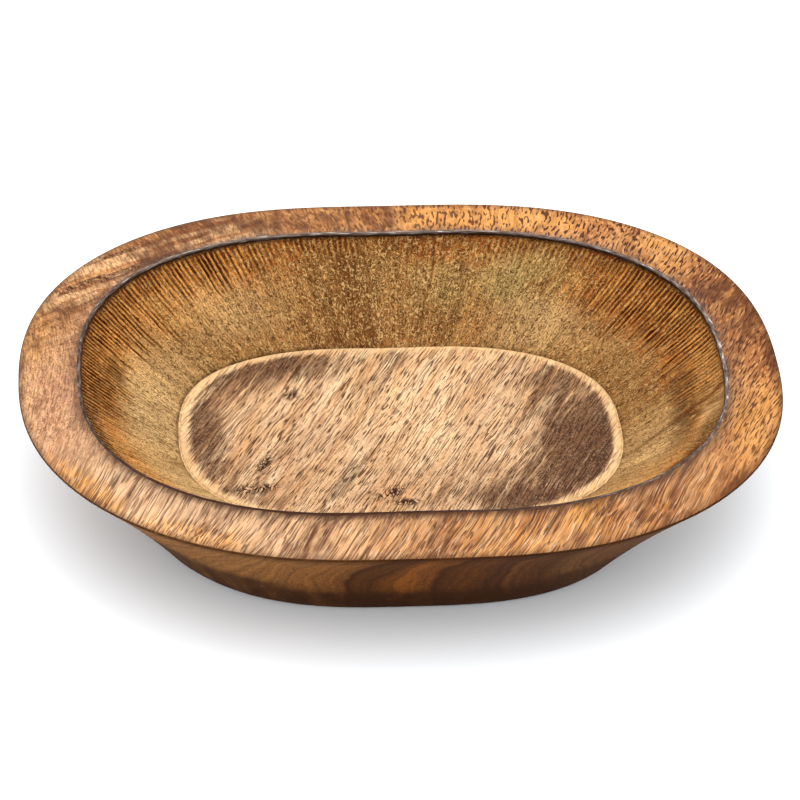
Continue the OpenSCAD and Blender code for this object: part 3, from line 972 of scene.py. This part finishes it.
values["tawny"] = np.max([angleShare(rimTurn, middle, half) * strength
                          for middle, half, strength in edgeStains["tawny"]], axis=0)
for name in ("pored", "curlyFibreLightShade"):
    middle, half, least = edgeStains[name]
    most = angleShare(rimTurn, middle, half) ** 0.6
    values[name] = (1 - values["long"]) * (least + (1 - least) * most)
for name, value in values.items():
    writeValues(bowl.data, name, value)

bpy.ops.object.shade_smooth_by_angle(angle=shape["smoothAngle"])
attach(bowl, "root")
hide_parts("bowl")
print("bowl carved and stained")

# Pale floor, soft light from above and a white surround
studio = {
    "floorSize": 8.0,
    "floorColour": "#F8FCFF",
    "floorRoughness": 0.9,
    "floorGloss": 0.1,
    "worldStrength": 1.47,
    "keyPlace": (0.05, -0.1, 1.6),
    "keyAim": (0, 0, 0.03),
    "keyWidth": 2.0,
    "keyDepth": 1.6,
    "keyPower": 10.5,
}
bpy.ops.object.select_all(action="DESELECT")
bpy.ops.mesh.primitive_plane_add(size=studio["floorSize"], location=(0, 0, 0))
table = bpy.context.object
table.name = "paleFloor"
tableMaterial, tree, shader = newMaterial("palePaper")
shader.inputs["Base Color"].default_value = colour(studio["floorColour"])
shader.inputs["Roughness"].default_value = studio["floorRoughness"]
shader.inputs["Specular IOR Level"].default_value = studio["floorGloss"]
table.data.materials.append(tableMaterial)

bpy.ops.object.light_add(type="AREA", location=studio["keyPlace"])
key = bpy.context.object
key.name = "softKey"
key.data.shape = "RECTANGLE"
key.data.size = studio["keyWidth"]
key.data.size_y = studio["keyDepth"]
key.data.energy = studio["keyPower"]
key.rotation_euler = (Vector(studio["keyAim"]) - key.location).to_track_quat("-Z", "Y").to_euler()

world = bpy.data.worlds.new("whiteStudio")
world.use_nodes = True
backdrop = world.node_tree.nodes["Background"]
backdrop.inputs["Color"].default_value = colour("#FFFFFF")
backdrop.inputs["Strength"].default_value = studio["worldStrength"]
bpy.context.scene.world = world
bpy.context.scene.view_settings.view_transform = "Standard"

# The camera stands where the photographer's did, fitted to the outlines of the rim, lip and floor
cameraView = {
    "place": (-0.158124, -1.625992, 1.30717),
    "pitch": 0.6562,
    "yaw": 0.09697,
    "roll": 0.03597,
    "lens": 175.78,
    "sensor": 36.0,
    "farthest": 30.0,
}
pitch, yaw, roll = cameraView["pitch"], cameraView["yaw"], cameraView["roll"]
forward = Vector((math.sin(yaw) * math.cos(pitch), math.cos(yaw) * math.cos(pitch), -math.sin(pitch)))
level = Vector((math.cos(yaw), -math.sin(yaw), 0))
upright = level.cross(forward)
right = math.cos(roll) * level + math.sin(roll) * upright
up = -math.sin(roll) * level + math.cos(roll) * upright
bpy.ops.object.camera_add(location=cameraView["place"])
camera = bpy.context.object
camera.name = "photoCamera"
camera.matrix_world = (Matrix.Translation(cameraView["place"])
                       @ Matrix((right, up, -forward)).transposed().to_4x4())
camera.data.lens = cameraView["lens"]
camera.data.sensor_width = cameraView["sensor"]
camera.data.clip_end = cameraView["farthest"]
bpy.context.scene.camera = camera
print("studio ready")
